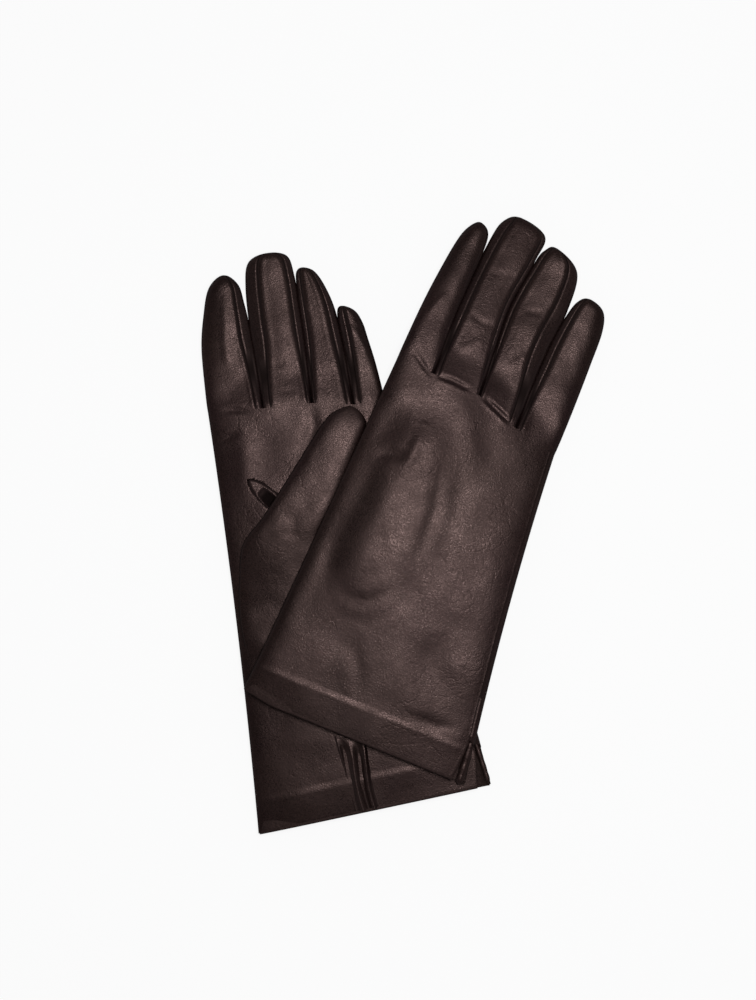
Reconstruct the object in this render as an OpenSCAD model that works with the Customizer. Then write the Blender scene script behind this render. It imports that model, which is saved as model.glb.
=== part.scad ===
// A pair of unlined dress gloves in thin smooth leather, lying flat on a table.
// The left glove lies palm up underneath, the right glove lies back up across it.
// Every leather piece is a thin sheet solid, cut and sewn as a glover cuts it.

/* [Leather] */
// Thickness of the leather
leather = 0.8; // [0.5:0.1:1.2]
// Gap between two pieces that are sewn edge to edge
seam_gap = 0.3; // [0.2:0.05:0.6]
// Gap between a turned-in layer and the leather that it lies against
layer_gap = 0.35; // [0.3:0.05:0.6]

/* [Hand] */
// Flat width of the cuff at the hem
hem_w = 107; // [85:0.5:130]
// Height of the hand as it lies, back to palm
hand_t = 9; // [8:0.1:14]
// Depth of the turned-in hem
hem_depth = 14; // [8:0.5:25]
// Squareness of the rounded sections, 2 is an ellipse
roundness = 2.6; // [2:0.1:4]

/* [Vents] */
// Length of the open side vent at the hem
side_vent_len = 20; // [10:0.5:35]
// Width of the open side vent at the hem
side_vent_w = 4.5; // [2:0.5:10]
// Length of the palm vent
palm_vent_len = 32; // [15:0.5:45]
// Width of the palm vent at the hem
palm_vent_w = 7; // [4:0.5:14]
// Overlap of the palm gusset behind each edge of its vent
gusset_lap = 1.6; // [1:0.1:3]

/* [Fingers] */
// Height of a finger as it lies, back to palm
finger_t = 7.6; // [6.5:0.1:12]
// Widths of the index, middle, ring and little fingers before their tips, as shares of their bases
finger_taper = [0.8, 0.92, 0.88, 0.85]; // [0.7:0.01:0.95]
// Clear gap between neighbouring fingers at their base
finger_gap = 1.0; // [0.6:0.1:2]
// Gap between the hand and each finger at the knuckle crease
knuckle_gap = 0.6; // [0.3:0.1:1]
// Half the angle that a fourchette takes of its finger's section
fourchette_angle = 40; // [25:1:55]

/* [Right glove] */
// Hem centre on the table
right_hem = [-20.9, -95.5]; // [-120:0.1:120]
// Turn about the vertical
right_turn = -22.2; // [-40:0.1:0]
// Widths of the index, middle, ring and little fingers
right_finger_w = [17.6, 22.8, 20.8, 20.6]; // [10:0.1:32]
// Lengths of the same fingers from the knuckle crease
right_finger_len = [71, 80.5, 78, 68.5]; // [30:0.5:110]
// Sideways lean of the same fingers
right_finger_lean = [2.1, 1.0, 1.4, 0]; // [-6:0.1:6]
// Distances from the hem to the three finger crotches and to the outer end of the knuckle crease
right_crotch = [164.5, 163, 156, 151]; // [120:0.5:210]
// Sideways shift of the knuckles from the hem's centre line
right_knuckle_shift = -6.1; // [-12:0.1:12]
// Base of the folded thumb
right_thumb_base = [-26.5, 62.5]; // [-60:0.1:160]
// Lean of the folded thumb
right_thumb_lean = 3; // [-5:0.5:15]

/* [Left glove] */
// Hem centre on the table
left_hem = [-11.9, -127.2]; // [-160:0.1:120]
// Turn about the vertical
left_turn = 12; // [0:0.1:40]
// Widths of the index, middle, ring and little fingers
left_finger_w = [25.4, 22.2, 18.2, 14]; // [10:0.1:32]
// Lengths of the same fingers from the knuckle crease
left_finger_len = [63, 69, 62.5, 46]; // [30:0.5:110]
// Sideways lean of the same fingers
left_finger_lean = [5.4, 2.7, 1.6, -1.4]; // [-6:0.1:6]
// Distances from the hem to the three finger crotches and to the outer end of the knuckle crease
left_crotch = [186, 184, 179.5, 178.5]; // [120:0.5:210]
// Sideways shift of the knuckles from the hem's centre line
left_knuckle_shift = 2.4; // [-12:0.1:12]
// Distance of the folded thumb's base from the hem
left_thumb_up = 110.4; // [60:0.1:160]
// Lean of the folded thumb
left_thumb_lean = 40; // [25:0.5:45]

/* [Thumb] */
// Length of the thumb stall
thumb_len = 85; // [50:0.5:100]
// Width of the thumb stall at its base
thumb_w = 24.5; // [18:0.5:32]
// Width of the thumb stall before its tip, as a share of its base width
thumb_taper = 0.68; // [0.6:0.01:0.9]
// Height of the folded thumb stall
thumb_t = 6.4; // [6:0.1:9]
// Gap between the folded thumb and what lies above or below it
thumb_gap = 0.5; // [0.3:0.1:1]
// Centre of the oval thumb hole in the palm
thumb_hole_at = [-23, 104]; // [-60:0.5:130]
// Width and length of the thumb hole
thumb_hole = [30, 80]; // [15:0.5:110]
// Width and length of the quirk at the head of the thumb hole
quirk = [11, 17]; // [6:0.5:25]
// Depth that the quirk reaches into the thumb hole
quirk_sink = 4.5; // [2:0.5:7]

/* [Lay] */
// Gap between the lower glove and the glove that lies on it
rest_gap = 0.5; // [0.3:0.1:1]
// Run over which the upper glove drapes down to the table
drape_run = 52; // [30:1:90]
// Run over which the upper glove rises over its own thumb
thumb_rise_run = 16; // [10:1:30]
// Margin round the folded thumb that the upper glove clears at full height
thumb_margin = 3.5; // [2:0.5:6]
// Gap between the lower glove's thumb and the fold of the glove that lies beside it
thumb_fold_gap = 0.6; // [0.3:0.1:3]
// Depth that the lower sections are flattened where they rest
rest_flat = 0.4; // [0.2:0.1:0.8]

/* [Hidden] */

LEATHER = "#3b2b2a";
FOURCHETTE = "#2f2122";
LINING_SIDE = "#4a3936";

INDEX = 0;
MIDDLE = 1;
RING = 2;
LITTLE = 3;

// Rows and columns of the sheets
hand_rows = 17;
hand_cols = 29;
finger_rows = 9;
strip_cols = 6;
side_cols = 5;
wrap_cols = 14;
thumb_cols = 16;
layer_rows = 3;
oval_points = 28;
patch_rows = 8;
patch_cols = 8;

// Width and height left at the sewn end of a tip, as shares of the full section
tip_end = 0.24;
tip_height = 0.3;
// Length of a rounded tip, as a share of its half width
tip_reach = 0.9;
// Share of a tip's flattening that comes off its top
tip_top = 0.6;

// Angles of the seams round a finger's section, from its little-finger side over its top
seam_angle = 2;
top_from = fourchette_angle + seam_angle;
top_to = 180 - top_from;
side_from = 180 - fourchette_angle + seam_angle;
side_to = 180 + fourchette_angle - seam_angle;
under_from = 180 + top_from;
under_to = 360 - top_from;

// Angles of the thumb's seam, the hand's side seam and its turned-in edges
thumb_seam = 180;
hand_seam_angle = 1.2;
facing_from = 32;
facing_to = 324;
welt_from = 330;
welt_to = 352;
gusset_angle = 30;

// Crowding of the hand's columns towards its rounded edges
edge_crowd = 13;

// Half width of the palm vent's blunt head, and how far cutting outlines run past what they cut
vent_head = 0.5;
past_edge = 2;

// General helpers
function mix(a, b, t) = a + (b - a) * t;
function ease(t) = let(c = max(0, min(1, t))) c * c * (3 - 2 * c);
function sum(list, upto) = upto <= 0 ? list[0] * 0 : list[upto - 1] + sum(list, upto - 1);
function rounded(c) = sign(c) * pow(abs(c), 2 / roundness);
function crowd(angle) = angle - edge_crowd * sin(2 * angle);
function spread(from, to, count) = [for (i = [0:count - 1]) mix(from, to, i / (count - 1))];

// The sizes of one glove, by its side
function is_right(side) = side == "right";
function hem_at(side) = is_right(side) ? right_hem : left_hem;
function turn(side) = is_right(side) ? right_turn : left_turn;
function finger_w(side) = is_right(side) ? right_finger_w : left_finger_w;
function finger_len(side) = is_right(side) ? right_finger_len : left_finger_len;
function finger_lean(side) = is_right(side) ? right_finger_lean : left_finger_lean;
function crotch(side) = is_right(side) ? right_crotch : left_crotch;
function knuckle_shift(side) = is_right(side) ? right_knuckle_shift : left_knuckle_shift;
function thumb_base(side) = is_right(side) ? right_thumb_base : left_thumb_base;
function thumb_lean(side) = is_right(side) ? right_thumb_lean : left_thumb_lean;
function knuckle_w(side) = sum(finger_w(side), 4);
function palm_on_top(side) = !is_right(side);

// Height of a glove that lies flat, after its rests are flattened
lying_t = hand_t - rest_flat;
upper_level = lying_t + rest_gap;

// Height that a folded thumb takes, with a gap on each side
thumb_clear = thumb_t + 2 * thumb_gap;

// A point of a glove's own plane (across, up from the hem) on the table
function on_table(side, p) =
    let(c = cos(turn(side)), s = sin(turn(side)), h = hem_at(side))
    [h.x + p.x * c - p.y * s, h.y + p.x * s + p.y * c];

// Distance past the lower glove's little-finger edge, where the upper glove drapes down
lower_edge_hem = on_table("left", [hem_w / 2, 0]);
lower_edge_top = on_table("left", [left_knuckle_shift + knuckle_w("left") / 2, left_crotch[2]]);
lower_edge_dir = (lower_edge_top - lower_edge_hem) / norm(lower_edge_top - lower_edge_hem);
function past_lower_edge(q) =
    (q.x - lower_edge_hem.x) * lower_edge_dir.y - (q.y - lower_edge_hem.y) * lower_edge_dir.x;

// Height of what a glove lies on
function bed(side, p) =
    is_right(side)
    ? mix(upper_level, rest_gap, ease(past_lower_edge(on_table(side, p)) / drape_run))
    : 0;

// Rise of the upper glove over its own folded thumb
function thumb_dir(side) = [sin(thumb_lean(side)), cos(thumb_lean(side))];
function thumb_half(share) = thumb_w / 2 * mix(1, thumb_taper, share);
function off_thumb(side, p) =
    let(
        reach = thumb_len - thumb_half(1),
        along = max(0, min(reach, (p - thumb_base(side)) * thumb_dir(side)))
    )
    norm(p - thumb_base(side) - along * thumb_dir(side)) - thumb_half(along / thumb_len);
function thumb_rise(side, p) =
    is_right(side) ? thumb_clear * (1 - ease((off_thumb(side, p) - thumb_margin) / thumb_rise_run)) : 0;

// A point of the hand, one of a finger whose sections lie level, and one of the thumb, in the pair's frame
function lay_level(side, p, middle, z) =
    concat(on_table(side, p), [z + bed(side, middle) + thumb_rise(side, middle)]);
function lay(side, p, z) = lay_level(side, p, p, z);
function lay_thumb(side, p, z) = concat(on_table(side, p), [z + bed(side, p)]);

// Places of the five finger edges along the knuckle crease
function edge_u(side, k) = knuckle_shift(side) - knuckle_w(side) / 2 + sum(finger_w(side), k);
function edge_v(side, k) =
    let(c = crotch(side))
    k == 0 ? 2 * c[0] - c[1] : c[k - 1];
function crease(side) = [for (k = [0:4]) [edge_u(side, k), edge_v(side, k)]];

// The lower glove's thumb lies along the upper glove's fold
upper_fold_hem = on_table("right", [-hem_w / 2, 0]);
upper_fold_top = on_table("right", crease("right")[0]);
upper_fold_dir = (upper_fold_top - upper_fold_hem) / norm(upper_fold_top - upper_fold_hem);
function off_upper_fold(q) =
    (q.y - upper_fold_hem.y) * upper_fold_dir.x - (q.x - upper_fold_hem.x) * upper_fold_dir.y;
fold_slip = off_upper_fold(on_table("left", [-1, 0])) - off_upper_fold(on_table("left", [0, 0]));
function left_thumb_side(share) =
    let(lean = left_thumb_lean)
    [0, left_thumb_up] + share * thumb_len * [sin(lean), cos(lean)] + thumb_half(share) * [cos(lean), -sin(lean)];
left_thumb_out = min([for (share = [0, 1 - tip_reach * thumb_half(1) / thumb_len])
    (off_upper_fold(on_table("left", left_thumb_side(share))) - thumb_fold_gap) / fold_slip]);
left_thumb_base = [left_thumb_out, left_thumb_up];

// One point of the hand's skin: share of the way up from the hem, angle round, depth below the skin
function hand_point(side, share, angle, depth) =
    let(
        c = rounded(cos(angle)),
        half = mix(hem_w, knuckle_w(side), share) / 2 - depth,
        u = knuckle_shift(side) * share + half * c,
        v = share * lookup(knuckle_shift(side) + c * knuckle_w(side) / 2, crease(side)),
        z = hand_t / 2 + (hand_t / 2 - depth) * rounded(sin(angle))
    )
    lay(side, [u, v], max(z, rest_flat + depth) - rest_flat);

// Angle round the section at which the palm passes a place across the hand
function palm_angle(side, share, u) =
    let(
        c = (u - knuckle_shift(side) * share) / mix(hem_w, knuckle_w(side), share) * 2,
        a = acos(sign(c) * pow(min(1, abs(c)), roundness / 2))
    )
    palm_on_top(side) ? a : 360 - a;

// The side vent opens the upper edge of the hand's side seam towards the hem
function hand_from(side, share) =
    let(
        open = max(0, 1 - share * lookup(knuckle_shift(side) + knuckle_w(side) / 2, crease(side)) / side_vent_len),
        edge = pow(max(0, 1 - 2 * side_vent_w / hem_w), roundness / 2)
    )
    mix(hand_seam_angle, acos(edge), open);

function hand_rings(side, depth, rows, cols) =
    [for (share = rows) [for (t = cols)
        hand_point(side, share, crowd(mix(hand_from(side, share), 360 - hand_seam_angle, t)), depth)]];
function facing_rings(side, from, to, top, cols, depth) =
    [for (v = spread(0, top, layer_rows)) [for (angle = spread(from, to, cols))
        hand_point(side, v / crotch(side)[1], crowd(angle), depth)]];

// Narrowing of a rounded tip, down to the short end that is sewn shut
function tip_round(share, half, length) =
    let(from = 1 - tip_reach * half / length, past = max(0, (share - from) / (1 - from)))
    sqrt(1 - (1 - tip_end * tip_end) * past * past);

// One point of a finger's skin
function finger_point(side, k, share, angle, depth) =
    let(
        inset = finger_gap / 2,
        left = [edge_u(side, k) + inset, edge_v(side, k) + knuckle_gap],
        right = [edge_u(side, k + 1) - inset, edge_v(side, k + 1) + knuckle_gap],
        lean = finger_lean(side)[k],
        length = finger_len(side)[k],
        tip = (left + right) / 2 + length * [sin(lean), cos(lean)],
        tip_half = finger_taper[k] * (finger_w(side)[k] / 2 - inset) * [cos(lean), -sin(lean)],
        middle = mix((left + right) / 2, tip, share),
        half = mix((right - left) / 2, tip_half, share),
        round = tip_round(share, norm(tip_half), length),
        side_w = norm(half) * round - depth,
        p = middle + half / norm(half) * side_w * rounded(cos(angle)),
        height = finger_t / 2 * mix(tip_height, 1, round),
        z = mix(finger_t / 2, height, tip_top) + (height - depth) * rounded(sin(angle))
    )
    lay_level(side, p, middle, max(z, rest_flat + depth) - rest_flat);
function tip_wards(count) = [for (j = [0:count]) 1 - pow(1 - j / count, 1.6)];
function strip_rings(side, k, from, to, cols, depth) =
    [for (share = tip_wards(finger_rows)) [for (angle = spread(from, to, cols))
        finger_point(side, k, share, angle, depth)]];

// One point of the thumb stall's skin, above the palm or beneath it
function thumb_point(side, share, angle, depth) =
    let(
        round = tip_round(share, thumb_half(1), thumb_len),
        across = [cos(thumb_lean(side)), -sin(thumb_lean(side))],
        u = (thumb_half(share) * round - depth) * rounded(cos(angle)),
        p = thumb_base(side) + share * thumb_len * thumb_dir(side) + u * across,
        height = thumb_t / 2 * mix(tip_height, 1, round),
        under = palm_on_top(side) ? lying_t + thumb_gap : thumb_gap,
        z = under + thumb_t / 2 + (height - depth) * rounded(sin(angle))
    )
    lay_thumb(side, p, z);
function thumb_rings(side, depth) =
    [for (share = tip_wards(finger_rows)) [for (angle = spread(thumb_seam + 4, thumb_seam + 356, thumb_cols))
        thumb_point(side, share, angle, depth)]];

// A closed sheet between an outer and an inner grid of points
function quad(a, b, c, d) = [[a, b, c], [a, c, d]];
module sheet(outer, inner) {
    rows = len(outer);
    cols = len(outer[0]);
    count = rows * cols;
    points = concat([for (row = outer) each row], [for (row = inner) each row]);
    function o(j, i) = j * cols + i;
    function n(j, i) = count + j * cols + i;
    faces = concat(
        [for (j = [0:rows - 2], i = [0:cols - 2]) each
            concat(
                quad(o(j, i), o(j, i + 1), o(j + 1, i + 1), o(j + 1, i)),
                quad(n(j, i), n(j + 1, i), n(j + 1, i + 1), n(j, i + 1))
            )],
        [for (i = [0:cols - 2]) each
            concat(
                quad(o(0, i + 1), o(0, i), n(0, i), n(0, i + 1)),
                quad(o(rows - 1, i), o(rows - 1, i + 1), n(rows - 1, i + 1), n(rows - 1, i))
            )],
        [for (j = [0:rows - 2]) each
            concat(
                quad(o(j, 0), o(j + 1, 0), n(j + 1, 0), n(j, 0)),
                quad(o(j + 1, cols - 1), o(j, cols - 1), n(j, cols - 1), n(j + 1, cols - 1))
            )]
    );
    polyhedron(points = points, faces = faces);
}

// The whole hand before its openings are cut
module hand_sheet(side) {
    rows = spread(0, 1, hand_rows);
    cols = spread(0, 1, hand_cols);
    sheet(hand_rings(side, 0, rows, cols), hand_rings(side, leather, rows, cols));
}

// A turned-in layer that lies against the inside of the cuff
module cuff_layer(side, from, to, top, cols) {
    depth = leather + layer_gap;
    sheet(
        facing_rings(side, from, to, top, cols, depth),
        facing_rings(side, from, to, top, cols, depth + leather)
    );
}

// The palm's skin over the thumb hole, from which the pieces that fill the hole are cut
module palm_sheet(side) {
    rows = spread(patch_from, patch_to, patch_rows);
    reach = (thumb_hole.x / 2 + past_edge) * (palm_on_top(side) ? -1 : 1);
    cols = spread(thumb_hole_at.x - reach, thumb_hole_at.x + reach, patch_cols);
    function skin(depth) = [for (v = rows) let(share = v / crotch(side)[0]) [for (u = cols)
        hand_point(side, share, palm_angle(side, share, u), depth)]];
    sheet(skin(0), skin(leather));
}

// A column on an outline of the glove's plane, which passes through the palm but not the back
module through_palm(side, outline) {
    count = len(outline);
    centre = sum(outline, count) / count;
    middle = lying_t / 2;
    low = palm_on_top(side) ? middle : middle - hand_t;
    points = concat(
        [for (p = outline) lay(side, p, low)],
        [for (p = outline) lay(side, p, low + hand_t)],
        [lay(side, centre, low), lay(side, centre, low + hand_t)]
    );
    faces = [for (i = [0:count - 1]) let(j = (i + 1) % count) each [
        [2 * count, i, j],
        [2 * count + 1, count + j, count + i],
        [i, count + i, j],
        [j, count + i, count + j]
    ]];
    polyhedron(points = points, faces = faces);
}

// Places in the glove's plane: the quirk at the head of the thumb hole, the ends of the palm patch
quirk_at = thumb_hole_at + [thumb_hole.x * 0.1, thumb_hole.y / 2 + quirk.y / 2 - quirk_sink];
patch_from = thumb_hole_at.y - thumb_hole.y / 2 - past_edge;
patch_to = quirk_at.y + quirk.y / 2 + past_edge;

// Outlines in the glove's plane: the thumb hole, its quirk and the palm vent
function gore_outline(shrink) =
    [for (i = [0:oval_points - 1]) let(a = i * 360 / oval_points)
        thumb_hole_at + [(thumb_hole.x / 2 - shrink) * cos(a), (thumb_hole.y / 2 - shrink) * sin(a)]];
function quirk_outline(shrink) =
    let(half = quirk / 2 * (1 - 2 * shrink * norm(quirk) / (quirk.x * quirk.y)))
    [for (a = [0:90:270]) quirk_at + [half.x * cos(a), half.y * sin(a)]];
function vent_outline(grow, top) =
    let(half = palm_vent_w / 2 + grow)
    [[half, -past_edge], [vent_head + grow, top], [-vent_head - grow, top], [-half, -past_edge]];

// The pieces of one glove
module trank(side) {
    color(LEATHER) difference() {
        hand_sheet(side);
        through_palm(side, gore_outline(0));
        through_palm(side, quirk_outline(0));
        through_palm(side, vent_outline(0, palm_vent_len));
    }
}
module hem_facing(side) {
    color(LINING_SIDE) difference() {
        cuff_layer(side, facing_from, facing_to, hem_depth, hand_cols);
        through_palm(side, vent_outline(gusset_lap + seam_gap, palm_vent_len));
    }
}
module side_vent_welt(side) {
    color(LEATHER) cuff_layer(side, welt_from, welt_to, side_vent_len, side_cols);
}
module palm_gusset(side) {
    middle = palm_on_top(side) ? 90 : 270;
    color(FOURCHETTE) intersection() {
        cuff_layer(side, middle - gusset_angle, middle + gusset_angle, palm_vent_len + gusset_lap, side_cols);
        through_palm(side, vent_outline(gusset_lap, palm_vent_len + 2 * gusset_lap));
    }
}
module thumb_gore(side) {
    color(LEATHER) difference() {
        intersection() {
            palm_sheet(side);
            through_palm(side, gore_outline(seam_gap));
        }
        through_palm(side, quirk_outline(-seam_gap));
    }
}
module thumb_quirk(side) {
    color(FOURCHETTE) intersection() {
        palm_sheet(side);
        through_palm(side, quirk_outline(seam_gap));
    }
}
module thumb_stall(side) {
    color(LEATHER) sheet(thumb_rings(side, 0), thumb_rings(side, leather));
}
module strip(side, k, from, to, cols) {
    sheet(strip_rings(side, k, from, to, cols, 0), strip_rings(side, k, from, to, cols, leather));
}
module finger_top(side, k) {
    color(LEATHER) strip(side, k, k == LITTLE ? seam_angle : top_from, top_to, strip_cols);
}
module finger_under(side, k) {
    color(LEATHER) strip(side, k, under_from, k == LITTLE ? 360 - seam_angle : under_to, strip_cols);
}
module finger_back(side, k) {
    if (is_right(side)) finger_top(side, k);
    else finger_under(side, k);
}
module finger_palm(side, k) {
    if (is_right(side)) finger_under(side, k);
    else finger_top(side, k);
}
module index_wrap(side) {
    color(LEATHER) strip(side, INDEX, top_from, under_to, wrap_cols);
}
// The two walls of a finger: the one towards the index finger and the one towards the little finger
module inner_fourchette(side, k) {
    color(FOURCHETTE) strip(side, k, side_from, side_to, side_cols);
}
module outer_fourchette(side, k) {
    color(FOURCHETTE) strip(side, k, seam_angle - fourchette_angle, fourchette_angle - seam_angle, side_cols);
}

// The pieces of the left glove
module left_trank() { trank("left"); }
module left_hem_facing() { hem_facing("left"); }
module left_side_vent_welt() { side_vent_welt("left"); }
module left_palm_gusset() { palm_gusset("left"); }
module left_thumb_stall() { thumb_stall("left"); }
module left_thumb_gore() { thumb_gore("left"); }
module left_thumb_quirk() { thumb_quirk("left"); }
module left_index_wrap() { index_wrap("left"); }
module left_index_fourchette() { outer_fourchette("left", INDEX); }
module left_middle_back() { finger_back("left", MIDDLE); }
module left_middle_palm() { finger_palm("left", MIDDLE); }
module left_middle_index_fourchette() { inner_fourchette("left", MIDDLE); }
module left_middle_ring_fourchette() { outer_fourchette("left", MIDDLE); }
module left_ring_back() { finger_back("left", RING); }
module left_ring_palm() { finger_palm("left", RING); }
module left_ring_middle_fourchette() { inner_fourchette("left", RING); }
module left_ring_little_fourchette() { outer_fourchette("left", RING); }
module left_little_back() { finger_back("left", LITTLE); }
module left_little_palm() { finger_palm("left", LITTLE); }
module left_little_fourchette() { inner_fourchette("left", LITTLE); }

// The pieces of the right glove
module right_trank() { trank("right"); }
module right_hem_facing() { hem_facing("right"); }
module right_side_vent_welt() { side_vent_welt("right"); }
module right_palm_gusset() { palm_gusset("right"); }
module right_thumb_stall() { thumb_stall("right"); }
module right_thumb_gore() { thumb_gore("right"); }
module right_thumb_quirk() { thumb_quirk("right"); }
module right_index_wrap() { index_wrap("right"); }
module right_index_fourchette() { outer_fourchette("right", INDEX); }
module right_middle_back() { finger_back("right", MIDDLE); }
module right_middle_palm() { finger_palm("right", MIDDLE); }
module right_middle_index_fourchette() { inner_fourchette("right", MIDDLE); }
module right_middle_ring_fourchette() { outer_fourchette("right", MIDDLE); }
module right_ring_back() { finger_back("right", RING); }
module right_ring_palm() { finger_palm("right", RING); }
module right_ring_middle_fourchette() { inner_fourchette("right", RING); }
module right_ring_little_fourchette() { outer_fourchette("right", RING); }
module right_little_back() { finger_back("right", LITTLE); }
module right_little_palm() { finger_palm("right", LITTLE); }
module right_little_fourchette() { inner_fourchette("right", LITTLE); }

left_trank();
left_hem_facing();
left_side_vent_welt();
left_palm_gusset();
left_thumb_stall();
left_thumb_gore();
left_thumb_quirk();
left_index_wrap();
left_index_fourchette();
left_middle_back();
left_middle_palm();
left_middle_index_fourchette();
left_middle_ring_fourchette();
left_ring_back();
left_ring_palm();
left_ring_middle_fourchette();
left_ring_little_fourchette();
left_little_back();
left_little_palm();
left_little_fourchette();
right_trank();
right_hem_facing();
right_side_vent_welt();
right_palm_gusset();
right_thumb_stall();
right_thumb_gore();
right_thumb_quirk();
right_index_wrap();
right_index_fourchette();
right_middle_back();
right_middle_palm();
right_middle_index_fourchette();
right_middle_ring_fourchette();
right_ring_back();
right_ring_palm();
right_ring_middle_fourchette();
right_ring_little_fourchette();
right_little_back();
right_little_palm();
right_little_fourchette();
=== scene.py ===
"""Looks of a pair of thin leather dress gloves, laid flat, one across the other.

Lengths are millimetres in a glove's own frame until they are laid on the table: u runs to the
right, v from the hem to the fingertips, and the index finger is on the left of both gloves,
because the right one shows its back and the left one its palm.
"""
import logging
import math
from dataclasses import dataclass, field
from enum import Enum

import bpy
import numpy as np
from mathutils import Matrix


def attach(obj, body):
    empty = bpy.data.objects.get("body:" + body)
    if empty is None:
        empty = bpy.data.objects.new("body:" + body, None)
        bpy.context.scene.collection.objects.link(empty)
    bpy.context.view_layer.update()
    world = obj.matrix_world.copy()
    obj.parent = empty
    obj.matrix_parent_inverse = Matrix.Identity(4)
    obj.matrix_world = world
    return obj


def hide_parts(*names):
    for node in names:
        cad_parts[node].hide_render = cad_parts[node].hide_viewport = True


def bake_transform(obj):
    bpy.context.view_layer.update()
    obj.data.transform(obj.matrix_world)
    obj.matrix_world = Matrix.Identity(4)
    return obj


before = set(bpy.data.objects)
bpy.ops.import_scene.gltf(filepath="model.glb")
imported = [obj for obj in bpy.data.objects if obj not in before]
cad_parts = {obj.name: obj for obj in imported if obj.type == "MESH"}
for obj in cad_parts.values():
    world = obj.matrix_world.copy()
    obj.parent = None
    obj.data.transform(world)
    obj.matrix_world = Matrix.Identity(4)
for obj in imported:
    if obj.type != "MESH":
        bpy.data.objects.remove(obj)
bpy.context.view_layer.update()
LOG = logging.getLogger("gloves")

Array = np.ndarray
Point = tuple[float, float]
Path = tuple[Point, ...]
Colour = tuple[float, float, float]
Node = bpy.types.Node

MM = 0.001
LEATHER = 0.7  # thickness of the glove leather
SECTION_POWER = 3.2  # how boxy the section of the flat hand is
REST_GAP = 0.5  # height of leather that lies on the table
LIP_RISE, LIP_PLACE = 0.22, 1.9  # swelling beside a crease, in depths and widths of the crease
SLACK_WAVES, SLACK_LENGTH, SWAY_LENGTH = 6, 58.0, 37.0  # waves of slack leather, and their longest
PAINTED_SEAM_SHADE = 0.9  # strength of the painted shade that darkens the leather down in a seam
# colour of the painted shade in seams, slits, pits and pleat valleys
PAINTED_SHADE_COLOUR = (0.004, 0.0025, 0.0025, 1.0)
SHINE_TINT = (1.0, 0.68, 0.63, 1.0)
SHARP_ANGLE = 48.0  # edges sharper than this stay sharp
WELD_GAP = 1e-5
WALL_STEPS = 20  # in how many steps a wall thins out
FINGER_ROWS = 92  # steps along a finger
TIP_END = 0.995  # share of a stall's length where its leather is drawn together


def ease(t: Array) -> Array:
    """Smooth step from 0 to 1, level at both ends."""
    t = np.clip(t, 0.0, 1.0)
    return t * t * (3.0 - 2.0 * t)


def mix(a: Array, b: Array, t: Array) -> Array:
    """Straight blend from a at t 0 to b at t 1."""
    return a + (b - a) * t


def bump(t: Array) -> Array:
    """Bell of height 1 at t 0."""
    return np.exp(-t * t)


def rounded(c: Array, power: Array) -> Array:
    """Coordinate of a superellipse for a cosine or sine c."""
    return np.sign(c) * np.abs(c) ** (2.0 / power)


def curve(points: Path, t: Array, after: Point | None = None) -> Array:
    """Smooth curve through points.

    Args:
        points: The points that it passes.
        t: Places along it, 0 at the first point and 1 at the last.
        after: A point that it heads for past its end, where it doesn't run straight on.

    Returns:
        One row of u and v for each place.
    """
    p = np.array(points, float)
    p = np.vstack([2 * p[0] - p[1], p, 2 * p[-1] - p[-2] if after is None else after])
    x = np.clip(t, 0.0, 1.0) * (len(points) - 1)
    k = np.minimum(x.astype(int), len(points) - 2)
    f = (x - k)[:, None]
    a, b, c, d = p[k], p[k + 1], p[k + 2], p[k + 3]
    return 0.5 * (2 * b + (c - a) * f + (2 * a - 5 * b + 4 * c - d) * f**2 + (3 * b - 3 * c + d - a) * f**3)


def off_path(u: Array, v: Array, path: Path) -> tuple[Array, Array]:
    """Where points lie beside a path of straight runs.

    Args:
        u: Points across the glove.
        v: Points along the glove.
        path: Corners of the path.

    Returns:
        Distance from the path, and share of its length at the nearest place.
    """
    best = np.full(u.shape, np.inf)
    share = np.zeros(u.shape)
    runs = [math.dist(a, b) for a, b in zip(path, path[1:])]
    done = 0.0
    for (a, b), run in zip(zip(path, path[1:]), runs):
        du, dv = (b[0] - a[0]) / run, (b[1] - a[1]) / run
        along = np.clip((u - a[0]) * du + (v - a[1]) * dv, 0.0, run)
        gap = np.hypot(u - a[0] - along * du, v - a[1] - along * dv)
        nearer = gap < best
        best = np.where(nearer, gap, best)
        share = np.where(nearer, (done + along) / sum(runs), share)
        done += run
    return best, share


class Fold(Enum):
    """How leather gives along a line."""

    VALLEY = "valley"
    RIDGE = "ridge"


@dataclass(frozen=True)
class Crease:
    """One fold in the leather, drawn as a line of a few points in the glove's frame."""

    path: Path
    depth: float
    width: float
    fade: float = 0.25
    fold: Fold = Fold.VALLEY

    def relief(self, u: Array, v: Array) -> Array:
        """How far the crease raises the leather.

        Args:
            u: Points across the glove.
            v: Points along the glove.

        Returns:
            The rise at each point, in millimetres.
        """
        gap, share = off_path(u, v, self.path)
        ends = ease(share / self.fade) * ease((1 - share) / self.fade)
        near = gap / self.width
        if self.fold is Fold.VALLEY:
            return ends * self.depth * (LIP_RISE * bump(near - LIP_PLACE) - bump(near))
        return ends * self.depth * bump(near)


def slack(u: Array, v: Array, seed: float) -> Array:
    """Faint waves of slack leather.

    Args:
        u: Points across the glove.
        v: Points along the glove.
        seed: Which waves they are.

    Returns:
        A height at each point, between about -1 and 1.
    """
    total = np.zeros(u.shape)
    for k in range(1, SLACK_WAVES + 1):
        turn = seed + 2.4 * k
        run = (u * math.cos(turn) + v * math.sin(turn)) / (SLACK_LENGTH / k**0.75)
        sway = np.sin((u * math.sin(turn) - v * math.cos(turn)) / (SWAY_LENGTH / k**0.6) + 1.7 * k)
        total += np.sin(2 * math.pi * run + 1.9 * sway + seed * k) / k**1.35
    return total / 1.9


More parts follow.
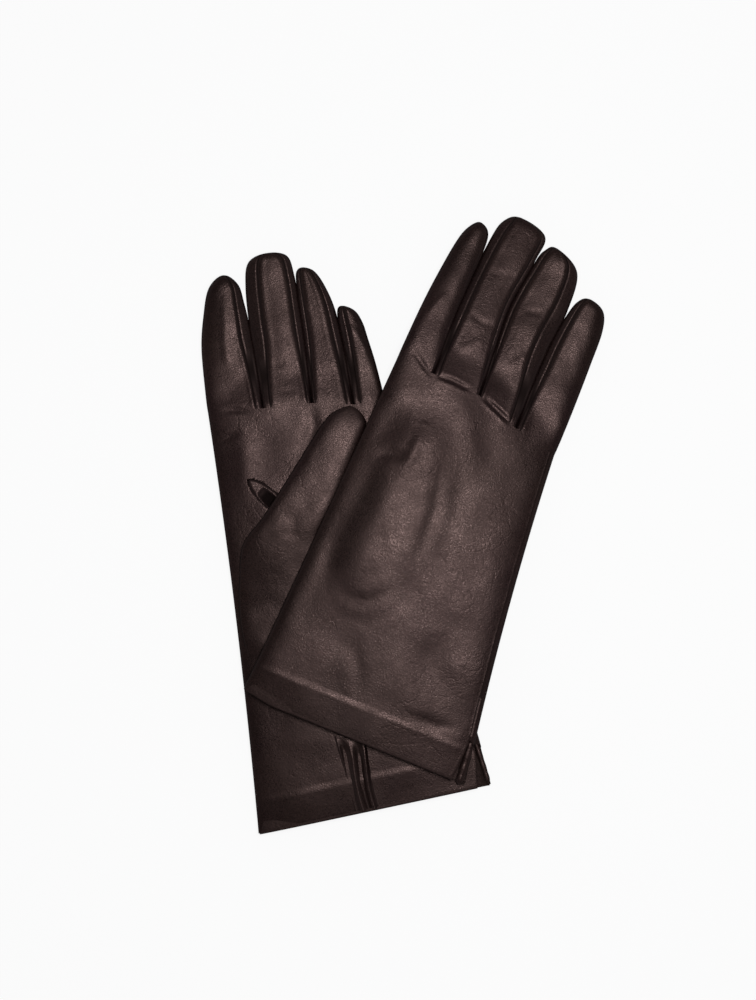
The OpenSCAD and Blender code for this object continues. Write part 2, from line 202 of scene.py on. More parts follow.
class Tree:
    """The nodes of a material or the world, added and linked by short calls."""

    def __init__(self, owner: bpy.types.Material | bpy.types.World) -> None:
        """Start with no nodes.

        Args:
            owner: The material or the world.
        """
        owner.use_nodes = True
        self.nodes = owner.node_tree.nodes
        self.links = owner.node_tree.links
        self.nodes.clear()

    def add(self, kind: str, **settings: object) -> Node:
        """Add a node.

        Args:
            kind: Its type name.
            settings: Its properties, or its inputs by their names with _ for a space.

        Returns:
            The node.
        """
        node = self.nodes.new(kind)
        for key, value in settings.items():
            if hasattr(node, key):
                setattr(node, key, value)
            else:
                node.inputs[key.replace("_", " ")].default_value = value
        return node

    def wire(self, *runs: tuple[Node, str, Node, str | int]) -> None:
        """Link nodes: each run is a node, its output, the next node and its input."""
        for source, output, target, socket in runs:
            self.links.new(source.outputs[output], target.inputs[socket])

    def noise(self, place: Node, scale: float, detail: float, rough: float = 0.5) -> Node:
        """Add noise that is fixed to the piece.

        Args:
            place: The piece's coordinates.
            scale: How fine it is.
            detail: How many finer layers it has.
            rough: How strong they are.

        Returns:
            The node.
        """
        node = self.add("ShaderNodeTexNoise", Scale=scale, Detail=detail, Roughness=rough)
        self.wire((place, "Object", node, "Vector"))
        return node

    def remap(
        self, source: Node, output: str, old: Point, new: Point = (0.0, 1.0), kind: str = "LINEAR"
    ) -> Node:
        """Turn one range of a value into another.

        Args:
            source: The node that gives the value.
            output: Its output.
            old: The range to read.
            new: The range to give.
            kind: How it runs between its ends.

        Returns:
            The node.
        """
        node = self.add("ShaderNodeMapRange", interpolation_type=kind)
        for end, value in zip(("From Min", "From Max", "To Min", "To Max"), (*old, *new)):
            node.inputs[end].default_value = value
        self.wire((source, output, node, "Value"))
        return node

    def maths(self, operation: str, *sources: tuple[Node, str]) -> Node:
        """Combine other nodes' outputs.

        Args:
            operation: How, such as ADD or MULTIPLY.
            sources: Each node with the name of its output.

        Returns:
            The node.
        """
        node = self.add("ShaderNodeMath", operation=operation)
        self.wire(*((source, output, node, k) for k, (source, output) in enumerate(sources)))
        return node


@dataclass(frozen=True)
class LeatherFinish:
    """Thin glove leather: its dyes, its shine and its grain."""

    name: str
    slot: str
    dark: Colour
    light: Colour
    bloom: Colour
    shine: Point
    grain: float = 1900.0
    grain_depth: float = 0.000065

    def material(self) -> bpy.types.Material:
        """Make the material the first time that it is asked for.

        Returns:
            The material.
        """
        known = bpy.data.materials.get(self.name)
        if known:
            return known
        made = bpy.data.materials.new(self.name)
        tree = Tree(made)
        place = tree.add("ShaderNodeTexCoord")
        shader = tree.add("ShaderNodeBsdfPrincipled", Specular_Tint=SHINE_TINT)
        output = tree.add("ShaderNodeOutputMaterial")
        tree.wire(
            (shader, "BSDF", output, "Surface"),
            (self._dye_and_painted_shade(tree, place), "Color", shader, "Base Color"),
            (self._polish(tree, place), "Value", shader, "Roughness"),
            (self._grain(tree, place), "Normal", shader, "Normal"),
        )
        return made

    def _dye_and_painted_shade(self, tree: Tree, place: Node) -> Node:
        """Uneven brown dye with a faint bloom, flecked by the pores, and painted shade that darkens it down
        in the seams, slits, pits and pleat valleys.

        Args:
            tree: The material's nodes.
            place: The piece's coordinates.

        Returns:
            The node that gives the colour.
        """
        cloud = tree.noise(place, 26.0, 6.0, 0.62)
        ramp = tree.add("ShaderNodeValToRGB")
        for stop, spot, colour in zip(ramp.color_ramp.elements, (0.34, 0.68), (self.dark, self.light)):
            stop.position = spot
            stop.color = (*colour, 1.0)
        drift = tree.noise(place, 15.0, 3.0)
        share = tree.remap(drift, "Fac", (0.42, 0.7), (0.0, 0.7))
        tint = tree.add("ShaderNodeMixRGB", Color2=(*self.bloom, 1.0))
        fleck = tree.noise(place, 1500.0, 3.0, 0.8)
        pore = tree.remap(fleck, "Fac", (0.36, 0.64), (0.25, 1.9))
        flecked = tree.add("ShaderNodeMixRGB", blend_type="MULTIPLY", Fac=1.0)
        # painted shade: the stored seam attribute mixes the colour towards the painted shade colour
        seam = tree.add("ShaderNodeAttribute", attribute_name="seam")
        sunk = tree.add("ShaderNodeMixRGB", Color2=PAINTED_SHADE_COLOUR)
        tree.wire(
            (cloud, "Fac", ramp, "Fac"),
            (share, "Result", tint, "Fac"),
            (ramp, "Color", tint, "Color1"),
            (tint, "Color", flecked, "Color1"),
            (pore, "Result", flecked, "Color2"),
            (seam, "Fac", sunk, "Fac"),
            (flecked, "Color", sunk, "Color1"),
        )
        return sunk

    def _polish(self, tree: Tree, place: Node) -> Node:
        """Shine that comes and goes, as on handled leather, and is lost in the seams.

        Args:
            tree: The material's nodes.
            place: The piece's coordinates.

        Returns:
            The node that gives the roughness.
        """
        patch = tree.noise(place, 48.0, 5.0, 0.65)
        gloss = tree.remap(patch, "Fac", (0.3, 0.72), self.shine)
        fleck = tree.noise(place, 2300.0, 2.0, 0.7)
        worn = tree.remap(fleck, "Fac", (0.3, 0.7), (-0.16, 0.16))
        total = tree.maths("ADD", (gloss, "Result"), (worn, "Result"))
        seam = tree.add("ShaderNodeAttribute", attribute_name="seam")
        return tree.maths("MAXIMUM", (total, "Value"), (seam, "Fac"))

    def _grain(self, tree: Tree, place: Node) -> Node:
        """Fine pebbled grain over small soft wrinkles.

        Args:
            tree: The material's nodes.
            place: The piece's coordinates.

        Returns:
            The node that gives the normal.
        """
        pebble = tree.add("ShaderNodeTexVoronoi", feature="SMOOTH_F1", Scale=self.grain)
        pore = tree.noise(place, self.grain * 0.7, 2.0, 0.6)
        both = tree.maths("ADD", (pebble, "Distance"), (pore, "Fac"))
        sway = tree.noise(place, 95.0, 4.0, 0.6)
        shift = tree.add("ShaderNodeVectorMath", operation="SCALE", Scale=0.009)
        bent = tree.add("ShaderNodeVectorMath", operation="ADD")
        crack = tree.add("ShaderNodeTexVoronoi", feature="DISTANCE_TO_EDGE", Scale=150.0)
        line = tree.remap(crack, "Distance", (0.0, 0.09), kind="SMOOTHSTEP")
        where = tree.noise(place, 38.0, 2.0)
        some = tree.remap(where, "Fac", (0.5, 0.66), kind="SMOOTHSTEP")
        crease = tree.maths("MULTIPLY", (line, "Result"), (some, "Result"))
        swell = tree.noise(place, 120.0, 3.0)
        soft = tree.add("ShaderNodeBump", Strength=0.2, Distance=0.0006)
        lines = tree.add("ShaderNodeBump", Strength=0.14, Distance=0.0002)
        fine = tree.add("ShaderNodeBump", Strength=0.6, Distance=self.grain_depth)
        tree.wire(
            (place, "Object", pebble, "Vector"),
            (sway, "Color", shift, 0),
            (place, "Object", bent, 0),
            (shift, "Vector", bent, 1),
            (bent, "Vector", crack, "Vector"),
            (swell, "Fac", soft, "Height"),
            (crease, "Value", lines, "Height"),
            (both, "Value", fine, "Height"),
            (soft, "Normal", lines, "Normal"),
            (lines, "Normal", fine, "Normal"),
        )
        return fine


class Finish(Enum):
    """The leathers of the pair."""

    GLOVE = LeatherFinish(
        name="glove_nappa",
        slot="glove_leather",
        dark=(0.0075, 0.0035, 0.0032),
        light=(0.0190, 0.0100, 0.0085),
        bloom=(0.0145, 0.0059, 0.0076),
        shine=(0.29, 0.43),
    )
    FOURCHETTE = LeatherFinish(
        name="fourchette_nappa",
        slot="fourchette_leather",
        dark=(0.0105, 0.0052, 0.0050),
        light=(0.0205, 0.0112, 0.0100),
        bloom=(0.0155, 0.0069, 0.0084),
        shine=(0.28, 0.42),
    )
    FACING = LeatherFinish(
        name="turned_hem",
        slot="facing_leather",
        dark=(0.0125, 0.0065, 0.0060),
        light=(0.0220, 0.0125, 0.0108),
        bloom=(0.0170, 0.0085, 0.0094),
        shine=(0.50, 0.66),
        grain=700.0,
        grain_depth=0.00015,
    )


class Sheet:
    """One piece of leather: a flat grid that is laid on a form and given its thickness."""

    def __init__(self, name: str, across: int, along: int) -> None:
        """Add the flat grid.

        Args:
            name: The piece's name.
            across: How many steps it has across.
            along: How many steps it has along.
        """
        bpy.ops.object.select_all(action="DESELECT")
        bpy.ops.mesh.primitive_grid_add(x_subdivisions=across, y_subdivisions=along, size=1.0)
        self.object = bpy.context.object
        self.object.name = name
        self.object.data.name = name
        flat = np.empty(len(self.object.data.vertices) * 3)
        self.object.data.vertices.foreach_get("co", flat)
        self.across = flat[0::3] + 0.5
        self.along = flat[1::3] + 0.5

    def lay(self, points: Array, inside: Array) -> None:
        """Move the grid's corners onto the form and turn its faces outwards.

        Args:
            points: Where each corner goes, in metres.
            inside: A point behind each corner, on the hollow side.
        """
        mesh = self.object.data
        mesh.vertices.foreach_set("co", points.ravel())
        mesh.update()
        first = np.array([face.vertices[0] for face in mesh.polygons])
        normals = np.empty(len(mesh.polygons) * 3)
        mesh.polygons.foreach_get("normal", normals)
        if np.sum(normals.reshape(-1, 3) * (points - inside)[first]) < 0:
            bpy.ops.object.mode_set(mode="EDIT")
            bpy.ops.mesh.select_all(action="SELECT")
            bpy.ops.mesh.flip_normals()
            bpy.ops.object.mode_set(mode="OBJECT")

    def paint_shade(self, amount: Array) -> None:
        """Store painted shade for each corner, from 0 to 1, such as how deep in a seam it lies."""
        seam = self.object.data.attributes.new("seam", "FLOAT", "POINT")
        seam.data.foreach_set("value", np.clip(amount, 0.0, 1.0).astype(np.float32))

    def weld(self) -> None:
        """Join the edges where the sheet meets itself."""
        bpy.ops.object.mode_set(mode="EDIT")
        bpy.ops.mesh.select_all(action="SELECT")
        bpy.ops.mesh.remove_doubles(threshold=WELD_GAP)
        bpy.ops.object.mode_set(mode="OBJECT")

    def thicken(self, thickness: float, thin: Array | None = None) -> None:
        """Give the sheet its leather's thickness, inwards.

        Args:
            thickness: In millimetres.
            thin: Share of the thickness at each corner, where it isn't all of it.
        """
        wall = self.object.modifiers.new("wall", "SOLIDIFY")
        wall.thickness = thickness * MM
        wall.offset = -1.0
        if thin is not None:
            group = self.object.vertex_groups.new(name="wall")
            steps = np.round(np.clip(thin, 0.02, 1.0) * WALL_STEPS).astype(int)
            for step in np.unique(steps):
                group.add(np.flatnonzero(steps == step).tolist(), float(step) / WALL_STEPS, "REPLACE")
            wall.vertex_group = group.name
        bpy.ops.object.modifier_apply(modifier=wall.name)

    def dress(self, finish: Finish, *nodes: str) -> bpy.types.Object:
        """Smooth the piece, give it its leather and hide the CAD nodes that it stands in for.

        Args:
            finish: The leather.
            nodes: The nodes that it replaces.

        Returns:
            The finished piece.
        """
        bpy.ops.object.select_all(action="DESELECT")
        self.object.select_set(True)
        bpy.context.view_layer.objects.active = self.object
        bpy.ops.object.shade_smooth_by_angle(angle=math.radians(SHARP_ANGLE))
        self.object.data.materials.clear()
        self.object.data.materials.append(finish.value.material())
        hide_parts(*nodes)
        LOG.info("%s: %d faces", self.object.name, len(self.object.data.polygons))
        return self.object


def spread(start: float, end: float, p: Array, aspect: float, under: float = 0.4) -> Array:
    """Angles round a flat section, spaced evenly along the leather.

    Args:
        start: First angle in degrees.
        end: Last angle in degrees.
        p: Shares of the way from start to end.
        aspect: Width of the section over its height.
        under: How many steps the lower side gets for each one on the upper side.

    Returns:
        One angle in degrees for each share.
    """
    count = 3000
    angle = np.linspace(start, end, count)
    turn = np.radians(angle)
    x = aspect * rounded(np.cos(turn), SECTION_POWER)
    z = rounded(np.sin(turn), SECTION_POWER)
    step = np.hypot(np.diff(x), np.diff(z)) + aspect / count
    step *= np.where(np.sin(turn[1:]) > -0.2, 1.0, under)
    run = np.concatenate([[0.0], np.cumsum(step)])
    return np.interp(p * run[-1], run, angle)


def crowd(q: Array, spots: tuple[tuple[float, float, float], ...]) -> Array:
    """Shares from 0 to 1, closer together round some spots.

    Args:
        q: Even shares.
        spots: For each spot its place, its spread and how much closer the steps are there.

    Returns:
        The uneven shares.
    """
    even = np.linspace(0.0, 1.0, 2000)
    weight = np.ones(even.shape)
    for place, reach, gain in spots:
        weight += gain * bump((even - place) / reach)
    run = np.concatenate([[0.0], np.cumsum(0.5 * (weight[1:] + weight[:-1]))])
    return np.interp(q * run[-1], run, even)


@dataclass(frozen=True)
class Place:
    """Where a glove lies on the table."""

    hem: Point
    turn: float

    def on_table(self, u: Array, v: Array) -> tuple[Array, Array]:
        """Table x and y of points in the glove's frame, in millimetres."""
        c, s = math.cos(math.radians(self.turn)), math.sin(math.radians(self.turn))
        return self.hem[0] + u * c - v * s, self.hem[1] + u * s + v * c

    def points(self, u: Array, v: Array, z: Array) -> Array:
        """Points in metres in the shared frame."""
        x, y = self.on_table(u, v)
        return np.stack([x, y, z], axis=1) * MM


@dataclass(frozen=True)
class Slope:
    """What a glove lies on: level, then falling away past a straight edge."""

    level: float = 0.0
    edge: tuple[Point, Point] | None = None
    run: float = 52.0

    def height(self, x: Array, y: Array) -> Array:
        """Height of the bed under the glove.

        Args:
            x: Table points, to the right.
            y: Table points, away from the viewer.

        Returns:
            The height at each point, in millimetres.
        """
        if self.edge is None:
            return np.full(np.shape(x), self.level)
        (x0, y0), (x1, y1) = self.edge
        past = ((x - x0) * (y1 - y0) - (y - y0) * (x1 - x0)) / math.dist(*self.edge)
        return mix(self.level, REST_GAP, ease(past / self.run))


@dataclass(frozen=True)
class Lump:
    """The rise that a thumb tucked under the palm makes in the hand above it."""

    left: Path
    right: Path
    height: float
    run: float = 20.0
    shown: float = 0.26

    def rise(self, u: Array, v: Array) -> Array:
        """How far the hand is raised.

        Args:
            u: Points across the glove.
            v: Points along the glove.

        Returns:
            The rise at each point, in millimetres.
        """
        t = np.linspace(0.0, 1.0, 120)
        ring = np.vstack([curve(self.left, t), curve(self.right, t[::-1])])
        gap, _ = off_path(u, v, tuple(map(tuple, np.vstack([ring[::4], ring[:1]]))))
        within = np.zeros(u.shape, bool)
        for (u0, v0), (u1, v1) in zip(ring, np.roll(ring, -1, axis=0)):
            if v0 != v1:
                within ^= ((v0 > v) != (v1 > v)) & (u < u0 + (v - v0) / (v1 - v0) * (u1 - u0))
        out = np.where(within, -gap, gap)
        return self.height * (1.0 - ease((out + 0.45 * self.run) / self.run))


@dataclass
class Hand:
    """The hand of a glove: one folded piece, open at the hem and along the short side vent."""

    side: str
    place: Place
    bed: Slope
    crease: Path
    bow: Point
    creases: tuple[Crease, ...]
    crowded_rows: tuple[tuple[float, float, float], ...]
    lump: Lump | None = None
    pits: tuple["Pit", ...] = ()
    hem_half: float = 53.5
    hem_left: float = 0.0
    corner: float = 0.0
    half_t: float = 3.7
    rest_flat: float = 0.4
    hem_depth: float = 13.5
    hem_step: float = 0.22
    hem_fall: Point = (1.5, 0.5)
    slackness: float = 0.42
    seam_w: float = 0.55
    seam_depth: float = 0.9
    seam_angle: float = 23.0
    vent_len: float = 20.5
    flap_angle: float = 36.0
    vent_under: float = 352.0
    seed: float = 0.7

    def edges(self, share: Array) -> tuple[Array, Array]:
        """Outline of the flat hand.

        Args:
            share: Shares of its length.

        Returns:
            Its left and its right edge at each share.
        """
        wave = 4 * share * (1 - share)
        left = mix(-self.hem_half - self.hem_left, self.crease[0][0], share) + self.bow[0] * wave
        right = mix(self.hem_half, self.crease[-1][0], share) - self.bow[1] * wave
        return left, right

    def crease_v(self, c: Array) -> Array:
        """Where the fingers begin, for places from -1 to 1 across the knuckles."""
        cu, cv = np.array(self.crease).T
        return np.interp(mix(cu[0], cu[-1], (c + 1) / 2), cu, cv)

    def spot(self, share: Array, c: Array) -> tuple[Array, Array]:
        """Points of the flat hand.

        Args:
            share: Shares of its length.
            c: Places from -1 to 1 across it.

        Returns:
            u and v of each point.
        """
        left, right = self.edges(share)
        corner = self.corner * (1 - np.clip(share, 0.0, 1.0)) ** 9 * ease((-c - 0.7) / 0.3)
        return mix(left, right, (c + 1) / 2), share * self.crease_v(c) + corner

    def across(self, u: Array, v: Array) -> Array:
        """Where points lie across the hand.

        Args:
            u: Points across the glove.
            v: Points along the glove.

        Returns:
            A place from -1 to 1 for each point.
        """
        c = np.zeros(np.shape(u))
        for _ in range(4):
            left, right = self.edges(np.clip(v / self.crease_v(c), 0.0, 1.0))
            c = np.clip((2 * u - left - right) / (right - left), -1.0, 1.0)
        return c

    def lift(self, u: Array, v: Array, up: Array | float = 0.0) -> Array:
        """How high the hand lies at each point, before its own thickness.

        Args:
            u: Points across the glove.
            v: Points along the glove.
            up: 1 on the upper side and -1 on the lower one, which a thumb below it dents more.

        Returns:
            The heights in millimetres.
        """
        x, y = self.place.on_table(u, v)
        rise = self.lump.rise(u, v) * mix(1.0, self.lump.shown, (1 + up) / 2) if self.lump else 0.0
        return self.bed.height(x, y) + rise

    def swell(self, u: Array, v: Array) -> Array:
        """Share of the hand's full thickness at each point."""
        return (1.0 - np.abs(self.across(u, v)) ** SECTION_POWER) ** (1.0 / SECTION_POWER)

    def surface(self, u: Array, v: Array, up: float) -> Array:
        """Height of the upper side, with up 1, or the lower side, with up -1, at each point."""
        w = up * self.swell(u, v)
        return np.maximum(self.half_t * (1 + w), self.rest_flat) - self.rest_flat + self.lift(u, v, up)

    def skin(self, share: Array, angle: Array, depth: Array) -> tuple[Array, Array, Array]:
        """Points of the hand's outer side.

        Args:
            share: Shares of the hand's length.
            angle: Angles round the section in degrees, from the right over the top.
            depth: How far each point is sunk below the plain form.

        Returns:
            u, v and height of each point.
        """
        turn = np.radians(angle)
        c, w = rounded(np.cos(turn), SECTION_POWER), rounded(np.sin(turn), SECTION_POWER)
        u, v = self.spot(share, c)
        z = np.maximum(self.half_t + (self.half_t - depth) * w, self.rest_flat + depth) - self.rest_flat
        return u - depth * c * np.abs(c) ** 8, v, z + self.lift(u, v, w)

    def seam_angles(self, v: Array) -> tuple[Array, Array]:
        """Where the leather ends at the side seam, which opens into the vent.

        Args:
            v: Points along the glove.

        Returns:
            The angles at which it starts and ends at each point.
        """
        gap = np.clip(1.0 - v / self.vent_len, 0.0, 1.0)
        start = mix(self.seam_angle, self.flap_angle, gap)
        end = mix(360.0 + self.seam_angle, self.vent_under, ease(gap * 6))
        return start, end

    def relief(self, u: Array, v: Array, facing: Array) -> Array:
        """Height of hem, folds and slack leather on the upper side, fading out below it.

        Args:
            u: Points across the glove.
            v: Points along the glove.
            facing: How far each point faces up, from -1 to 1.

        Returns:
            The height at each point.
        """
        band = np.clip((self.hem_depth - v) / self.hem_depth, 0.0, 1.0)
        fall = mix(*self.hem_fall, ease((u + 46.0) / 32.0))
        total = self.hem_step * (1 - ease((v - self.hem_depth) / 3.0)) - fall * band
        total = total + self.slackness * slack(u, v, self.seed)
        for one in self.creases:
            total = total + one.relief(u, v)
        for pit in self.pits:
            total = total - pit.depth * pit.inside(u, v)
        return total * ease(facing * 2.2)

    def build(self) -> bpy.types.Object:
        """Lay the hand piece.

        Returns:
            The piece.
        """
        sheet = Sheet(f"{self.side}_trank", 205, 190)
        share = crowd(sheet.along, self.crowded_rows)
        even = spread(self.seam_angle, 360.0 + self.seam_angle, sheet.across, self.hem_half / self.half_t)
        sweep = (even - self.seam_angle) / 360.0
        start, end = self.seam_angles(share * self.crease_v(np.zeros(share.shape)))
        angle = mix(start, end, sweep)
        u, v, _ = self.skin(share, angle, np.zeros(share.shape))
        run = self.hem_half * np.minimum(sweep, 1 - sweep) * 5.2
        seam = bump(run / self.seam_w) * ease((v - self.vent_len) / 4.0 + 0.4)
        depth = self.seam_depth * seam - 0.12 * bump((run - 1.8) / 0.9)
        depth = depth - self.relief(u, v, np.sin(np.radians(angle)))
        u, v, z = self.skin(share, angle, depth)
        middle = self.place.points(u, v, self.lift(u, v) + self.half_t)
        sheet.lay(self.place.points(u, v, z), middle)
        # Painted shade down in the side seam and in the thumb pit, left off the underside.
        dark = PAINTED_SEAM_SHADE * seam + sum((pit.inside(u, v) for pit in self.pits), np.zeros(u.shape))
        sheet.paint_shade(dark * (np.sin(np.radians(angle)) > -0.1))
        sheet.weld()
        sheet.thicken(LEATHER)
        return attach(sheet.dress(Finish.GLOVE, f"{self.side}_trank"), f"{self.side}_hand")


@dataclass(frozen=True)
class Pit:
    """A sunken spot with a pointed oval outline, such as the opening at the root of a thumb."""

    ends: tuple[Point, Point]
    half_w: float
    depth: float

    def inside(self, u: Array, v: Array) -> Array:
        """Which points are in the spot.

        Args:
            u: Points across the glove.
            v: Points along the glove.

        Returns:
            1 well inside the outline, 0 outside it.
        """
        (u0, v0), (u1, v1) = self.ends
        run = math.dist(*self.ends)
        du, dv = (u1 - u0) / run, (v1 - v0) / run
        along = ((u - u0) * du + (v - v0) * dv) / run
        off = np.abs((v - v0) * du - (u - u0) * dv)
        width = self.half_w * np.clip(4 * along * (1 - along), 0.0, 1.0) ** 0.6
        return ease((width - off) / 0.8 + 0.3) * (width > 0.01)


@dataclass
class Stall:
    """A finger or thumb of a glove: a flattened tube between two outlines, sewn shut at its tip."""

    name: str
    hand: Hand
    left: Path
    right: Path
    half_t: float = 3.1
    root_t: float | None = None
    on_palm: float = 0.0
    root_run: float = 15.0
    gap: float = -0.12
    power: float = 2.3
    root_power: float = 4.2
    tip_share: float = 0.24
    slackness: float = 0.22
    seam_w: float = 0.36
    seam_depth: float = 0.42
    slit: float = 1.1
    slit_at: float = 15.0
    slit_run: float = 10.0
    seed: float = 1.0
    creases: tuple[Crease, ...] = ()

    def outline(self, s: Array) -> tuple[Array, Array]:
        """Left and right edge at each share of the length, meeting in a round tip."""
        return curve(self.left, s, self.right[-2]), curve(self.right, s, self.left[-2])

    def reach(self, s: Array) -> Array:
        """How far along its middle line the stall has come.

        Args:
            s: Shares of the way from the root to the tip.

        Returns:
            The length from the root to each share, in millimetres.
        """
        t = np.linspace(0.0, 1.0, 200)
        middle = sum(self.outline(t)) / 2
        run = np.concatenate([[0.0], np.cumsum(np.linalg.norm(np.diff(middle, axis=0), axis=1))])
        return np.interp(s, t, run)

    def half_width(self, s: Array) -> Array:
        """Half of the stall's width at each share of its length."""
        left, right = self.outline(s)
        return np.linalg.norm(right - left, axis=1) / 2

    def section(self, s: Array, angle: Array, depth: Array) -> tuple[Array, Array, Array, Array]:
        """Point of the stall's outer side, sunk by a depth.

        Args:
            s: Share of the way from the root to the tip.
            angle: Angle round the section in degrees, from the right over the top.
            depth: How far below the plain form.

        Returns:
            u, v, height, and the height of the section's middle.
        """
        left, right = self.outline(s)
        middle, half = (left + right) / 2, (right - left) / 2
        width = np.maximum(np.linalg.norm(half, axis=1), 0.05)
        reach = self.reach(s)
        power = mix(self.root_power, self.power, ease(reach / 34.0))
        turn = np.radians(angle)
        c, w = rounded(np.cos(turn), power), rounded(np.sin(turn), power)
        inset = np.maximum(1.0 - (self.gap * ease(reach / 8.0) + depth * np.abs(c) ** 3) / width, 0.02)
        p = middle + half * (c * inset)[:, None]
        past = np.clip((s - 1 + self.tip_share) / self.tip_share, 0.0, 1.0)
        height = self.half_t * mix(0.3, 1.0, np.sqrt(1.0 - past * past))
        if self.on_palm:
            return self._folded(p, w, height, reach, depth)
        z = self.hand.lift(*middle.T) + mix(self.half_t, height, 0.6) + (height - depth) * w
        top, under = (self.hand.surface(*p.T, up) for up in (1.0, -1.0))
        at_root = mix(under, top, (np.clip(w / 0.8, -1.0, 1.0) + 1) / 2) - depth * w
        z = mix(at_root, z, ease(reach / self.root_run))
        return p[:, 0], p[:, 1], z, self.hand.lift(*middle.T) + self.half_t

    def _folded(
        self, p: Array, w: Array, height: Array, reach: Array, depth: Array
    ) -> tuple[Array, Array, Array, Array]:
        """Points of a stall that grows out of the palm and lies flat against it.

        Args:
            p: The points on the table.
            w: How high each point is in its section, from -1 to 1.
            height: Half of the stall's thickness.
            reach: Length from the root.
            depth: How far each point is sunk.

        Returns:
            u, v, height, and the height of the section's middle.
        """
        up = self.on_palm
        rise = height * mix(self.root_t / self.half_t, 1.0, ease((reach - self.root_run) / 40.0)) * 2
        rise = rise * ease(reach / 12.0 + 0.02)
        seat = self.hand.surface(*p.T, up) + up * 0.14
        top = np.maximum(w * up, 0.0)
        return p[:, 0], p[:, 1], seat + up * (rise * top - depth * ease(top * 2)), seat + up * rise / 2

    def strip(
        self,
        start: float,
        end: float,
        across: int,
        along: int,
        finish: Finish,
        node: str,
        part: Point = (0.0, TIP_END),
    ) -> bpy.types.Object:
        """Lay one strip of the stall, from seam to seam.

        Args:
            start: Angle of its first seam, in degrees.
            end: Angle of its last seam.
            across: Steps across it.
            along: Steps along it.
            finish: Its leather.
            node: The CAD node that it stands for.
            part: Shares of the stall's length where it begins and ends.

        Returns:
            The strip.
        """
        sheet = Sheet(node, across, along)
        p = crowd(sheet.across, ((0.0, 0.06, 2.0), (1.0, 0.06, 2.0)))
        s = mix(part[0], part[1], crowd(sheet.along, ((0.0, 0.1, 0.8), (1.0, 0.12, 1.2))))
        reach = self.reach(s)
        width = self.half_width(s)
        angle = spread(start, end, p, float(np.median(width)) / self.half_t, 0.5)
        upper = ease(np.sin(np.radians(angle)) * 2.5)
        wide = np.median(width) * abs(end - start) / 95.0
        edge = np.minimum(p, 1 - p) * wide * np.minimum(width / np.median(width), 1.0)
        sewn = 0.0 if abs(end - start) > 359 else 1.0
        seam = sewn * bump(edge / self.seam_w) * ease((1.0 - s) / 0.03)
        depth = self.seam_depth * seam - 0.12 * sewn * bump((edge - 1.2) / 0.7)
        u, v, _, _ = self.section(s, angle, np.zeros(s.shape))
        folds = self.slackness * slack(u * 1.8, v * 1.8, self.seed) * ease((1 - s) / 0.1)
        for one in self.creases:
            folds = folds + one.relief(u, v)
        if not self.on_palm:
            shared = self.hand.relief(u, v, np.ones(u.shape)) * self.hand.swell(u, v)
            folds = mix(shared, folds, ease(reach / 14.0))
        slit = bump((reach - self.slit_at) / self.slit_run) * ease(2.2 * np.sin(np.radians(angle)))
        slit = slit if finish is Finish.FOURCHETTE else np.zeros(s.shape)
        depth = depth * ease(reach / 3.0) - upper * folds * (1 - slit) + self.slit * slit
        u, v, z, centre = self.section(s, angle, depth)
        middle = sum(self.outline(s)) / 2
        place = self.hand.place
        sheet.lay(place.points(u, v, z), place.points(middle[:, 0], middle[:, 1], centre))
        # Painted shade down in the seams and in the slit between the fingers.
        sheet.paint_shade(PAINTED_SEAM_SHADE * np.maximum(seam, slit))
        sheet.thicken(LEATHER, ease((1.0 - s) / 0.14))
        return sheet.dress(finish, node)

    def bend(self, piece: bpy.types.Object, start: float, end: float) -> bpy.types.Object:
        """Bake a piece's place into its mesh; the ends of its bend along the stall are found, but nothing
        bends.

        Args:
            piece: The piece.
            start: Length along the stall's middle line where the bend starts.
            end: Length where it ends.

        Returns:
            The piece.
        """
        t = np.linspace(0.0, 1.0, 200)
        run = self.reach(t)
        spots = np.interp([start, end], run, t)
        middle = sum(self.outline(spots)) / 2
        ends = self.hand.place.points(middle[:, 0], middle[:, 1], np.zeros(2))
        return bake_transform(piece)


FINGER_WALLS = {
    "index": (None, "fourchette"),
    "middle": ("index_fourchette", "ring_fourchette"),
    "ring": ("middle_fourchette", "little_fourchette"),
    "little": ("fourchette", None),
}


@dataclass(frozen=True)
class Seams:
    """Angles of a finger's seams round its section, in degrees."""

    top_right: float
    top_left: float
    under_left: float = 222.0
    under_right: float = 318.0
    outer: float = -8.0


@dataclass
class Finger(Stall):
    """A finger with its back, its palm and the side walls between them."""

    seams: Seams = field(default_factory=lambda: Seams(40.0, 140.0))
    bend_from: float = 0.5
    bend_to: float = 13.0

    def node(self, part: str) -> str:
        """Name of one of the finger's CAD nodes."""
        return f"{self.hand.side}_{self.name}_{part}"

    def build(self) -> list[bpy.types.Object]:
        """Lay the finger's strips.

        Returns:
            The strips.
        """
        top, under = ("back", "palm") if self.hand.side == "right" else ("palm", "back")
        left_wall, right_wall = FINGER_WALLS[self.name]
        at = self.seams
        if left_wall is None:
            plan = [("wrap", at.top_right, at.under_right, 74, Finish.GLOVE)]
        elif right_wall is None:
            plan = [
                (top, at.outer, at.top_left, 44, Finish.GLOVE),
                (under, at.under_left, at.outer + 360.0, 20, Finish.GLOVE),
            ]
        else:
            plan = [
                (top, at.top_right, at.top_left, 40, Finish.GLOVE),
                (under, at.under_left, at.under_right, 18, Finish.GLOVE),
            ]
        if right_wall:
            plan.append((right_wall, at.under_right - 360.0, at.top_right, 22, Finish.FOURCHETTE))
        if left_wall:
            plan.append((left_wall, at.top_left, at.under_left, 22, Finish.FOURCHETTE))
        strips = []
        for part, start, end, across, finish in plan:
            strips.append(self.strip(start, end, across, FINGER_ROWS, finish, self.node(part)))
        return [self.bend(strip, self.bend_from, self.bend_to) for strip in strips]


